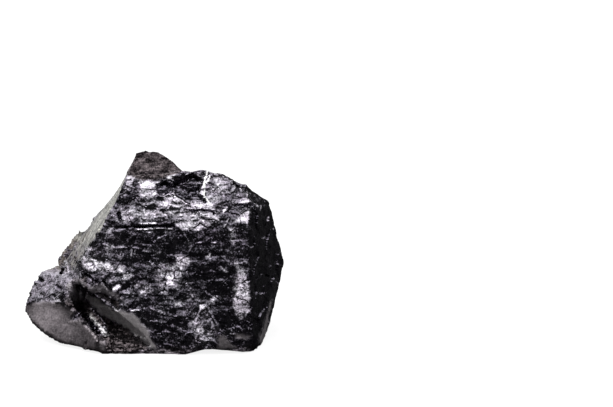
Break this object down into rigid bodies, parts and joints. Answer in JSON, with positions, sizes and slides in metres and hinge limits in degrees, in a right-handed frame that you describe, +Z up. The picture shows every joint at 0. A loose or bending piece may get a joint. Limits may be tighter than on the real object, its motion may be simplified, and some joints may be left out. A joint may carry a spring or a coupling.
{
  "type": "graphite specimen",
  "caption": "Broken lump of layered graphite with a broad glittering front face, a hump behind its crest and a smooth cleaved toe at one end.",
  "frame": {"origin": "middle of the footprint, on the surface that the lump lies on", "axes": "+Z up, +X along the broad front face towards its steep end, -Y out of the broad front face"},
  "size_m": [0.0668, 0.041, 0.0466],
  "materials": {
    "graphite": "near black, metallic to satin lustre on fresh cleavages, dull and rough in the breaks"
  },
  "bodies": {
    "root": {"graphite_specimen": "graphite"}
  },
  "joints": []
}
